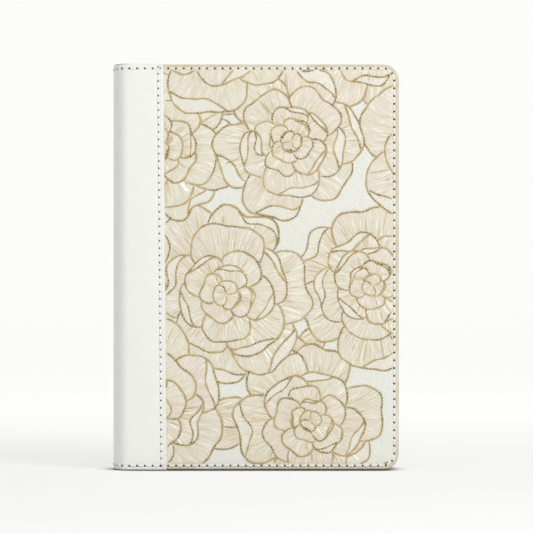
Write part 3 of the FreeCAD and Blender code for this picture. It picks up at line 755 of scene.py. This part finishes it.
def cords_of(shapes, random):
    """The gold cords along every outline that shows: each wavers a little and tapers at its ends."""
    lines, owners, made = [], [], []
    for k, shape in enumerate(shapes):
        for line in petal_lines(shape):
            line = evenly(line, CORD_STEP)
            run = CORD_STEP * np.arange(len(line))
            lines.append(line + CORD_WAVER * np.sin(run[:, None] / [1.9, 1.4] + random.uniform(0, TAU, 2)))
            owners.append(k)
    for line, _ in shown_runs(lines, owners, shapes, CORD_MARGIN, 5):
        count = len(line)
        place = np.column_stack([line[:, 0], np.full(count, PANEL_OUT + CORD_LIFT), line[:, 1]])
        near_end = np.minimum(np.arange(count), np.arange(count)[::-1]) * CORD_STEP
        knots = 1 + 0.16 * np.sin(CORD_STEP * np.arange(count) / 1.1 + random.uniform(0, TAU))
        radius = CORD_RADIUS * (0.45 + 0.55 * smooth(0, 1.5, near_end)) * knots * random.uniform(0.85, 1.15)
        points, faces, distance = tube(place, np.tile(OUTWARD, (count, 1)), radius, 6, 0.2, CORD_TURN)
        # How strongly the cord's material paints shade dots in its crevices, varying along the cord
        dotted = np.clip(0.7 + 1.1 * np.sin(distance / 7 + random.uniform(0, TAU)), 0, 1)
        made.append((points, faces, np.column_stack([distance, dotted])))
    return made


def strokes_of(shapes, random):
    """Embossed strokes inside most petals: thin ridges in tufts that fan out from the petal's foot."""
    lines, owners, made = [], [], []
    for k, shape in enumerate(shapes):
        if shape["reach"] < 9 or random.random() < 0.3:
            continue
        count = int(1.6 * shape["half_width"] * shape["reach"] / STROKE_SPACING)
        for turn in (np.linspace(-0.85, 0.85, count) + random.normal(0, 0.03, count)) * shape["half_width"]:
            reach = reach_at(shape, turn)
            start = reach * random.uniform(0.4, 0.74)
            run = np.arange(0, min(reach * random.uniform(0.16, 0.45), 0.95 * reach - start), 1.5)
            angle = shape["axis"] + turn * (1 + 0.2 * (run / (0.4 * reach)) ** 2)
            foot = np.array([shape["x"], shape["z"]])
            lines.append(foot + (start + run)[:, None] * np.stack([np.cos(angle), np.sin(angle)], -1))
            owners.append(k)
    for line, number in shown_runs(lines, owners, shapes, STROKE_MARGIN, 3):
        count = len(line)
        place = np.column_stack([line[:, 0], np.full(count, PANEL_OUT + STROKE_LIFT), line[:, 1]])
        taper = np.sin(np.linspace(0.15, 0.95, count) * math.pi) ** 0.5
        points, faces, _ = tube(place, np.tile(OUTWARD, (count, 1)), STROKE_RADIUS * taper, 3)
        tone = random.random()
        made.append((points, faces, np.full((len(points), 1), tone)))
    return made


# Stitching


def edge_path(distance):
    """Places in front view, that far along the edge stitching from the joint at the head."""
    bend = CORNER_ROUND - STITCH_INSET
    right, low = FORE_X - STITCH_INSET - bend, STITCH_INSET + bend
    high = HEIGHT - STITCH_INSET - bend
    quarter = bend * math.pi / 2
    stops = np.cumsum([right - JOINT_X, quarter, high - low, quarter])
    first = np.clip((distance - stops[0]) / bend, 0, math.pi / 2)
    second = np.clip((distance - stops[2]) / bend, 0, math.pi / 2)
    across = np.minimum(distance, stops[0]) - np.maximum(distance - stops[3], 0)
    down = np.clip(distance - stops[1], 0, high - low)
    x = JOINT_X + across + bend * (np.sin(first) - (1 - np.cos(second)))
    z = high + bend * np.cos(first) - down - bend * np.sin(second)
    return np.stack([x, z], -1)


def edge_path_length():
    """The whole length of that path: three straight runs and two quarter circles."""
    bend = CORNER_ROUND - STITCH_INSET
    straight = 2 * (FORE_X - CORNER_ROUND - JOINT_X)
    return straight + HEIGHT - 2 * CORNER_ROUND + bend * math.pi


EDGE_COUNT = int(edge_path_length() // STITCH_PITCH)
EDGE_HOLES = edge_path(np.linspace(0, edge_path_length(), EDGE_COUNT + 1))
PAST_STRIP = EDGE_HOLES[:, 0] - strip_edge(EDGE_HOLES[:, 1])
SHOWN_HOLES = EDGE_HOLES[PAST_STRIP > EDGE_CLEAR]
LAPPED_HOLES = EDGE_HOLES[PAST_STRIP < -EDGE_CLEAR]


def strip_line():
    """Needle holes of the line that holds the strip's edge down, from tail to head."""
    z = even(2.4, HEIGHT - 1.6, STRIP_STITCH_PITCH)
    return np.stack([strip_edge(z) - STRIP_STITCH_INSET, z], -1)


STRIP_HOLES = strip_line()


def pucker(x, z, holes, depth, spread):
    """How far the leather is drawn in round needle holes: a sum of bells, one for each hole."""
    drawn = np.zeros(x.shape)
    for hole_x, hole_z in holes:
        near = (np.abs(x - hole_x) < 4 * spread) & (np.abs(z - hole_z) < 4 * spread)
        away = (x[near] - hole_x) ** 2 + (z[near] - hole_z) ** 2
        drawn[near] += depth * np.exp(-away / spread**2)
    return drawn


STITCH_ARCH = np.sin(np.linspace(0, 1, 9) * math.pi) ** 0.6


def stitch(points, outward):
    """One stitch: two plies twisted together, thickest at the top of the arch."""
    return tube(points, outward, THREAD_RADIUS * (0.55 + 0.45 * STITCH_ARCH), 8, 0.12, 1.6)


def stitch_shapes(holes, leather_out):
    """Twisted threads between needle holes, arched, with their ends dipping into the holes."""
    made = []
    for start, end in zip(holes[:-1], holes[1:]):
        length = np.linalg.norm(end - start)
        if length > 1.5 * STITCH_PITCH:
            continue
        share = np.linspace(0.5 * HOLE_GAP / length, 1 - 0.5 * HOLE_GAP / length, len(STITCH_ARCH))
        place = start + (end - start) * share[:, None]
        points = np.column_stack([place[:, 0], leather_out - 0.22 + 0.34 * STITCH_ARCH, place[:, 1]])
        made.append(stitch(points, np.tile(OUTWARD, (len(points), 1))))
    return made


def hole_shape(centre, outward, radius, sides=10):
    """A needle hole as a small shallow cup with a soft rim, near black with painted shade: rings about a
    point on the leather.
    """
    angle = np.arange(sides) * TAU / sides
    radii = np.array([0.0001, 0.6, 1.0, 1.0, 0.0001])[:, None, None] * radius
    rises = np.array([-0.02, 0.0, 0.12, -0.1, -0.15])[:, None, None]
    up = np.array([0.0, 0.0, 1.0])
    spoke = np.cos(angle)[:, None] * np.cross(up, outward) + np.sin(angle)[:, None] * up
    points = centre + radii * spoke[None] + rises * np.asarray(outward)
    return points.reshape(-1, 3), [grid_quads(5, sides, wrap=True)], np.zeros(5 * sides)


def hole_shapes(holes, out, radius):
    """Needle holes on a cover, at that distance out."""
    return [hole_shape(np.array([x, out, z]), OUTWARD, radius) for x, z in holes]


# The covers

PANEL_OUTLINE = (panel_low[0], panel_high[0], panel_low[2], panel_high[2], CORNER_ROUND)
BOARD_INSET = board_low[0] - panel_low[0] - 0.1
TURN_IN = 12.0
ROLL = 0.95
ROLL_STEPS = np.linspace(0, math.pi / 2, 6)[1:]


def panel_profile():
    """From the face round the rolled edge, over the turned-in rim and back under it to the card's room."""
    rows = [(ROLL, 0.0, PANEL_OUT)]
    rows += [(ROLL * (1 - math.sin(a)), 0.0, PANEL_OUT - ROLL * (1 - math.cos(a))) for a in ROLL_STEPS]
    inner = COVER_INNER_OUT
    rows += [(0.0, 0.02, inner + 0.45), (0.15, 0.05, inner + 0.15), (0.5, 0.1, inner)]
    rows += [(3.0, 0.9, inner), (7.0, 1.8, inner), (TURN_IN - 0.2, BOARD_INSET - 0.1, inner)]
    rows += [(TURN_IN, BOARD_INSET, inner + 0.12), (TURN_IN, BOARD_INSET, inner + 0.38)]
    rows += [(1.0, BOARD_INSET - 0.05, inner + 0.4), (0.9, BOARD_INSET - 0.05, PANEL_OUT - 0.78)]
    return rows


def dress_cover(side, seed):
    """A cover's printed panel, its gold cords, strokes and stitches."""
    sign = SIDES[side]
    random = np.random.default_rng(seed)
    shapes = flower_bed(side, random)

    def relief(x, z):
        rise = print_fields(shapes, x, z)["rise"]
        inside = edge_distance(x, z)
        valley = 0.2 * np.exp(-(((inside - STITCH_INSET) / 0.9) ** 2))
        clear = smooth(0.5, 2.0, inside) * smooth(-0.5, 1.5, x - strip_edge(z))
        return clear * (rise * smooth(3.0, 4.2, inside) - valley - pucker(x, z, SHOWN_HOLES, 0.12, 0.9))

    u = even(0, 1, COVER_GRID / (panel_high[0] - panel_low[0]))
    v = even(0, 1, COVER_GRID / (panel_high[2] - panel_low[2]))
    points, faces, _ = plate(PANEL_OUTLINE, u, v, panel_profile(), relief, whole_back=False)
    fields = print_fields(shapes, points[:, 0], points[:, 2])
    del fields["rise"]
    # rim: the rolled edge, where the panel's material paints its shade
    fields["rim"] = smooth(2.1, 1.3, edge_distance(points[:, 0], points[:, 2]))
    shape = (points, faces, np.column_stack(list(fields.values())))
    panel = make_piece(f"{side}_cover_panel", shape, PRINT, tuple(fields), sign)
    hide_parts(f"{side}_panel")
    pieces = [panel]

    cords = cords_of(shapes, random)
    half = len(cords) // 2
    for name, part in (("lower", cords[:half]), ("upper", cords[half:])):
        shape, values = gather(part), ("along", "dotted")
        pieces.append(make_piece(f"{side}_gold_cords_{name}", shape, GOLD, values, sign))
    shape = gather(strokes_of(shapes, random))
    pieces.append(make_piece(f"{side}_petal_strokes", shape, STROKES, ("tone",), sign))

    at_head = LAPPED_HOLES[:, 1] > HEIGHT / 2
    edge_threads = stitch_shapes(SHOWN_HOLES, PANEL_OUT - 0.02)
    for held in (at_head, ~at_head):
        edge_threads += stitch_shapes(LAPPED_HOLES[held], STRIP_OUT)
    shape = gather(edge_threads)
    threads = make_piece(f"{side}_edge_threads", shape, THREAD, ("along",), sign)
    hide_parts(f"{side}_edge_stitches")
    shape = gather(stitch_shapes(STRIP_HOLES, STRIP_OUT))
    line = make_piece(f"{side}_strip_threads", shape, THREAD, ("along",), sign)
    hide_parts(f"{side}_strip_stitches")
    holes = hole_shapes(SHOWN_HOLES, PANEL_OUT - 0.05, HOLE_RADIUS)
    holes += hole_shapes(LAPPED_HOLES, STRIP_OUT, HOLE_RADIUS)
    holes += hole_shapes(STRIP_HOLES, STRIP_OUT, STRIP_HOLE_RADIUS)
    shape = gather(holes)
    pieces += [threads, line, make_piece(f"{side}_needle_holes", shape, HOLES, ("along",), sign)]
    for piece in pieces:
        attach(piece, f"{side}_cover")


# The white strip

STRIP_ROLL = 1.1
CROWN_BULGE = 0.5
JOINT_HOLLOW = 0.35
FLAP_COVER = BOOK_HALF - COVER_INNER_OUT
FLAP_SPINE = 1.1
LAP_RUN = 18
HOLLOW_SPINE_RUN = 9
HOLLOW_COVER_RUN = 12


def crown_path(share):
    """Places and outward directions round a quarter of the spine's ellipse, from its crown, evenly spaced."""
    angle = np.linspace(0, math.pi / 2, 2000)
    x, out = JOINT_X - SPINE_DEPTH * np.cos(angle), BOOK_HALF * np.sin(angle)
    run = np.concatenate([[0.0], np.cumsum(np.hypot(np.diff(x), np.diff(out)))])
    at = np.interp(share * run[-1], run, angle)
    normal = np.stack([-np.cos(at) / SPINE_DEPTH, np.sin(at) / BOOK_HALF], -1)
    normal /= np.linalg.norm(normal, axis=1, keepdims=True)
    return np.stack([JOINT_X - SPINE_DEPTH * np.cos(at), BOOK_HALF * np.sin(at)], -1), normal, run[-1]


QUARTER_RUN = crown_path(np.array([1.0]))[2]


def turn_with(piece, far):
    """Bakes a piece's placing into its mesh; it is not blended over the joint, and far is not used."""
    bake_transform(piece)


def spine_bulge(normal_x):
    """How far the soft leather stands off the spine card: most at the crown, none at the joints."""
    return CROWN_BULGE * normal_x**2


def spine_holes():
    """Distances from the crown, along the ellipse, of the needle holes round the spine."""
    count = int(2 * QUARTER_RUN // STITCH_PITCH)
    return (np.arange(count + 1) - count / 2) * 2 * QUARTER_RUN / count


def dress_strip(side):
    """Half of the white strip: from the spine's crown round to its slanting edge, wrapped over head and tail.

    Rows run from the crown along the path. Columns run up the height, starting and ending in the flaps.
    """
    sign = SIDES[side]
    bend_share = even(0, 1, STRIP_GRID / QUARTER_RUN)
    path, normal, _ = crown_path(bend_share)
    near_edge = 0.86 + 0.14 * np.sin(np.linspace(0, 1, 9)[1:] * math.pi / 2)
    lap = np.concatenate([even(0, 0.86, 0.04)[1:], near_edge])
    arc = np.linspace(0, math.pi / 2, 5)
    roll_up, roll_in = STRIP_ROLL * (1 - np.cos(arc)), STRIP_ROLL * (1 - np.sin(arc))
    z_face = even(STRIP_ROLL, HEIGHT - STRIP_ROLL, STRIP_GRID)[1:-1]
    z_out = np.concatenate([np.zeros(3), roll_up, z_face, HEIGHT - roll_up[::-1], np.full(3, HEIGHT)])
    face_depth = np.concatenate([roll_in, np.zeros(len(z_face)), roll_in[::-1]])
    rows = len(bend_share) + len(lap)
    run = np.concatenate([bend_share * QUARTER_RUN - QUARTER_RUN, lap * LAP_RUN])
    flap_depth = FLAP_SPINE + (FLAP_COVER - FLAP_SPINE) * smooth(-1.5, 1.5, run)
    in_flap = np.array([1.0, 0.7, 0.42]) * flap_depth[:, None]
    depth = np.concatenate([in_flap, np.tile(face_depth, (rows, 1)), in_flap[:, ::-1]], 1)
    edge = strip_edge(z_out)
    cover_x = JOINT_X + lap[:, None] * (edge - JOINT_X)
    on_spine, on_cover = np.ones((len(path), len(z_out))), np.ones(cover_x.shape)
    x = np.concatenate([path[:, :1] * on_spine, cover_x])
    out = np.concatenate([path[:, 1:] * on_spine, BOOK_HALF * on_cover])
    normal_x = np.concatenate([normal[:, :1] * on_spine, 0 * on_cover])
    normal_out = np.concatenate([normal[:, 1:] * on_spine, on_cover])
    z = np.tile(z_out, (rows, 1))

    to_edge = edge - x
    bead = 0.28 * np.exp(-(((to_edge - 0.85) / 0.55) ** 2)) - 0.55 * smooth(0.35, 0.0, to_edge)
    line = 0.16 * np.exp(-(((to_edge - STRIP_STITCH_INSET) / 0.7) ** 2))
    end_line = 0.14 * np.exp(-(((np.minimum(z, HEIGHT - z) - STITCH_INSET) / 0.8) ** 2))
    holes = np.concatenate([LAPPED_HOLES, STRIP_HOLES])
    drawn = pucker(x, z, holes, 0.16, 0.8) * (x > JOINT_X)
    face = np.zeros((rows, len(z_out)))
    face[:, 3:-3] = 1
    before, after = smooth(-HOLLOW_SPINE_RUN, 0, run), np.clip(1 - run / HOLLOW_COVER_RUN, 0, 1) ** 2
    hollow = JOINT_HOLLOW * np.where(run < 0, before, after)[:, None]
    rise = face * (bead - line - end_line - drawn) + spine_bulge(normal_x) - hollow

    def inwards(by, height):
        """The strip's path moved in along its normals, at those heights."""
        return np.stack([x - normal_x * by, out - normal_out * by, height], -1)

    z_under = np.tile(np.clip(z_out, WRAP_THICK, HEIGHT - WRAP_THICK), (rows, 1))
    under = inwards(np.maximum(depth, SKIN_THICK - 0.02), z_under)
    points, faces = sheet_shell(inwards(depth - rise, z), under)
    shape = (points, faces, points[:, :0])
    piece = make_piece(f"{side}_white_strip", shape, WHITE, (), sign)
    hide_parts(f"{side}_strip", "spine_skin")
    turn_with(piece, 4)


def dress_spine_stitches():
    """The head and tail stitching round the spine, thread by thread."""
    threads, holes = [], []
    stops = spine_holes()
    last_stop = QUARTER_RUN - 1.0
    for z in (STITCH_INSET, HEIGHT - STITCH_INSET):
        for first, last in zip(stops[:-1], stops[1:]):
            if max(abs(first), abs(last)) > last_stop:
                continue
            run = np.linspace(first + 0.6, last - 0.6, len(STITCH_ARCH))
            place, normal, _ = crown_path(np.abs(run) / QUARTER_RUN)
            way = np.where(run < 0, -1, 1)
            rise = -0.25 + 0.34 * STITCH_ARCH + spine_bulge(normal[:, 0])
            x, out = place[:, 0] + normal[:, 0] * rise, way * (place[:, 1] + normal[:, 1] * rise)
            outward = np.column_stack([normal[:, 0], way * normal[:, 1], np.zeros(len(run))])
            threads.append(stitch(np.column_stack([x, out, np.full(len(run), z)]), outward))
        for stop in stops[np.abs(stops) < last_stop]:
            (place,), (normal,), _ = crown_path(np.array([abs(stop) / QUARTER_RUN]))
            way = np.array([1, -1 if stop < 0 else 1])
            outward = np.append(normal * way, 0.0)
            centre = np.append(place * way, z) + outward * (spine_bulge(normal[0]) - 0.04)
            holes.append(hole_shape(centre, outward, HOLE_RADIUS))
    piece = make_piece("spine_threads", gather(threads), THREAD, ("along",), 1)
    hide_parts("spine_stitches")
    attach(piece, "spine")
    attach(make_piece("spine_needle_holes", gather(holes), HOLES, ("along",), 1), "spine")


# The leaves

LEAF_U = np.concatenate([np.linspace(0, 0.16, 17), np.linspace(0.16, 1, 15)[1:]])
CORNER_SHARES = np.linspace(0, 0.03, 7)
LEAF_V = np.concatenate([CORNER_SHARES, np.linspace(0.03, 0.97, 12)[1:-1], 1 - CORNER_SHARES[::-1]])
EDGE_LINES = 12
LEAF_BEND = 14.0


def dress_sections():
    """Each section as one sheaf of leaves, from its rounded fold to the hollow fore edge.

    Rings through the thickness are set in and out by a few hundredths, as trimmed leaves are.
    """
    random = np.random.default_rng(3)
    for number in range(1, 17):
        node = f"section_{number:02d}"
        low, high = box_mm(node)
        thick = high[1] - low[1]
        share = np.linspace(0, 1, EDGE_LINES + 1)
        round_fold = 0.5 * thick * (1 - np.sqrt(np.clip(1 - (2 * share - 1) ** 2, 0, 1)))
        ragged = 0.05 + random.uniform(-0.05, 0.05, len(share))
        ragged[[0, -1]] = 0.12
        profile = [(ragged[k], round_fold[k], -low[1] - thick * share[k]) for k in range(len(share))]
        outline = (high[0] - PAGE_WIDTH, high[0], low[2], high[2], LEAF_ROUND)
        points, faces, depth = plate(outline, LEAF_U, LEAF_V, profile)
        on_face = np.abs(depth + (low[1] + high[1]) / 2) > 0.5 * thick - 1e-6
        shape = (points, faces, np.column_stack([depth, 1.0 - on_face]))
        piece = make_piece(f"leaves_{number:02d}", shape, PAPER, ("depth", "edge"))
        body = frame["nodes"][node]["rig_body"]
        if body == "spine":
            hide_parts(node)
            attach(piece, "spine")
            continue
        group = "front_section_folds" if number < 8 else "back_section_folds"
        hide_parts(node, *([group] if number in (1, 16) else []))
        turn_with(piece, LEAF_BEND)


def dress_endpapers():
    """The pasted and the free endpaper inside each cover, from the first fold across the joint."""
    fold_x = box_mm("section_01")[1][0] - PAGE_WIDTH + 0.4
    for side, sign in SIDES.items():
        for kind, body, reach in (("pastedown", "cover", 3.5), ("flyleaf", "flyleaf", LEAF_BEND)):
            low, high = box_mm(f"{side}_{kind}")
            near, far = sorted((abs(low[1]), abs(high[1])))
            outline = (fold_x, high[0], low[2], high[2], LEAF_ROUND)
            shape = plate(outline, LEAF_U, LEAF_V, [(0.0, 0.0, far), (0.0, 0.0, near)])
            piece = make_piece(f"{side}_{kind}_paper", shape, ENDPAPER, ("along",), sign)
            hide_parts(f"{side}_{kind}")
            turn_with(piece, reach)


def dress_bands():
    """Head and tail bands: a silk-wound bead along the folds, ribbed by its threads."""
    for name in ("head_band", "tail_band"):
        low, high = box_mm(name)
        radius, half_y = (high[2] - low[2]) / 2, high[1]
        left, right = low[0] + radius, high[0]
        sag = right - left - 0.5
        bend = (half_y**2 + sag**2) / (2 * sag)
        half_angle = math.asin(half_y / bend)
        angle = np.linspace(-half_angle, half_angle, 260)
        x = left + bend * (1 - np.cos(angle))
        points = np.column_stack([x, bend * np.sin(angle), np.full(len(x), (low[2] + high[2]) / 2)])
        outward = np.tile([0.0, 0.0, 1.0], (len(x), 1))
        run = bend * (angle + half_angle)
        ribs = radius * (0.94 + 0.06 * np.cos(TAU * run / 0.6))
        piece = make_piece(f"{name}_silk", tube(points, outward, ribs, 12), SILK, ("along",), 1)
        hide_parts(name)
        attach(piece, "spine")


dress_cover("front", 4)
dress_cover("back", 11)
dress_strip("front")
dress_strip("back")
dress_spine_stitches()
dress_sections()
dress_endpapers()
dress_bands()


# Floor, light and camera

NEAR_GLOW = 1.08
FAR_GLOW = 1.4
DAYLIGHT = 0.57


def white_rays(add):
    """1 for the rays that show the set itself: the camera's, mirrored and passed through."""
    rays = add("LightPath")
    seen = add("Math", {0: rays, 1: rays.outputs["Is Glossy Ray"]}, operation="MAXIMUM")
    return add("Math", {0: seen, 1: rays.outputs["Is Transmission Ray"]}, operation="MAXIMUM")


def stage_material():
    """White paper sweep: it glows to the camera, more behind the book, and still takes its shadow.

    Close under the book, where nothing lights the paper, its colour goes to near black, a painted contact
    shadow, and the glow goes out as well.
    """
    material, add = new_material("white_paper_sweep")
    position = add("TexCoord").outputs["Object"]
    behind = add("SeparateXYZ", {0: position}).outputs["Y"]
    span = {"Value": behind, "From Min": -0.1, "From Max": 0.7, "To Min": NEAR_GLOW, "To Max": FAR_GLOW}
    glow = add("MapRange", span)
    # Painted shadow: within 16 mm of the book the paper's colour darkens to near black and its glow dims
    open_sky = add("AmbientOcclusion", {"Distance": 0.016}, samples=8).outputs["AO"]
    open_share = add("MapRange", {"Value": open_sky, "From Min": 0.4, "From Max": 0.8})
    colour = add("Mix", {0: open_share, 6: "#262523", 7: "#F4F4F2"})
    strength = add("Math", {0: glow, 1: open_share}, operation="MULTIPLY")
    paper = add("BsdfDiffuse", {"Color": colour})
    glowing = add("Emission", {"Color": (1, 1, 1, 1), "Strength": strength})
    share = add("Math", {0: white_rays(add), 1: 0.5}, operation="MULTIPLY")
    both = add("MixShader", {0: share, 1: paper, 2: glowing})
    add("OutputMaterial", {"Surface": both})
    return material


def sweep():
    """The floor curving up into a backdrop: a quarter circle between a level and an upright run."""
    bend, back, front, top = 400.0, 2600.0, -4500.0, 3600.0
    turn = np.linspace(0, math.pi / 2, 24)
    y = np.concatenate([[front], back + bend * np.sin(turn), [back + bend]])
    z = np.concatenate([[0.0], bend * (1 - np.cos(turn)), [top]]) - 0.05
    x = np.array([-4500.0, 4500.0])
    points = np.stack(np.broadcast_arrays(x[:, None], y[None], z[None]), -1).reshape(-1, 3)
    mesh = bpy.data.meshes.new("paper_sweep")
    mesh.from_pydata((points * MM).tolist(), [], grid_quads(2, len(y))[:, ::-1].tolist())
    mesh.shade_smooth()
    mesh.materials.append(stage_material())
    floor = bpy.data.objects.new("paper_sweep", mesh)
    bpy.context.scene.collection.objects.link(floor)


def soft_daylight():
    """Even white light from all round, which shows as white where the paper ends."""
    world = bpy.data.worlds.new("soft_daylight")
    world.use_nodes = True
    world.node_tree.nodes.clear()
    add = functools.partial(put, world.node_tree)
    strength = add("MapRange", {"Value": white_rays(add), "To Min": DAYLIGHT, "To Max": 1.0})
    sky = add("Background", {"Color": (1, 1, 1, 1), "Strength": strength})
    add("OutputWorld", {"Surface": sky})
    bpy.context.scene.world = world


def area_light(name, place, target, size, power):
    """A square soft box at a place in metres, turned to its target."""
    light = bpy.data.lights.new(name, "AREA")
    light.size = size
    light.energy = power
    lamp = bpy.data.objects.new(name, light)
    bpy.context.scene.collection.objects.link(lamp)
    lamp.location = place
    way = mathutils.Vector(target) - mathutils.Vector(place)
    lamp.rotation_euler = way.to_track_quat("-Z", "Y").to_euler()


sweep()
soft_daylight()
BOOK_MIDDLE = (0.0, 0.0, 0.5 * HEIGHT * MM)
area_light("key_light", (0.8, -1.05, 0.75), BOOK_MIDDLE, 0.6, 9.6)
area_light("fill_light", (-0.9, -1.1, 0.5), BOOK_MIDDLE, 0.8, 1.7)

camera = bpy.data.objects.new("camera", bpy.data.cameras.new("camera"))
camera.data.sensor_width = 36.0
camera.data.lens = 230.1
camera.location = (0.0055, -1.8155, 0.1078)
camera.rotation_euler = (math.pi / 2, 0, 0)
camera.data.clip_end = 20
bpy.context.scene.collection.objects.link(camera)
bpy.context.scene.camera = camera
bpy.context.scene.view_settings.view_transform = "Standard"
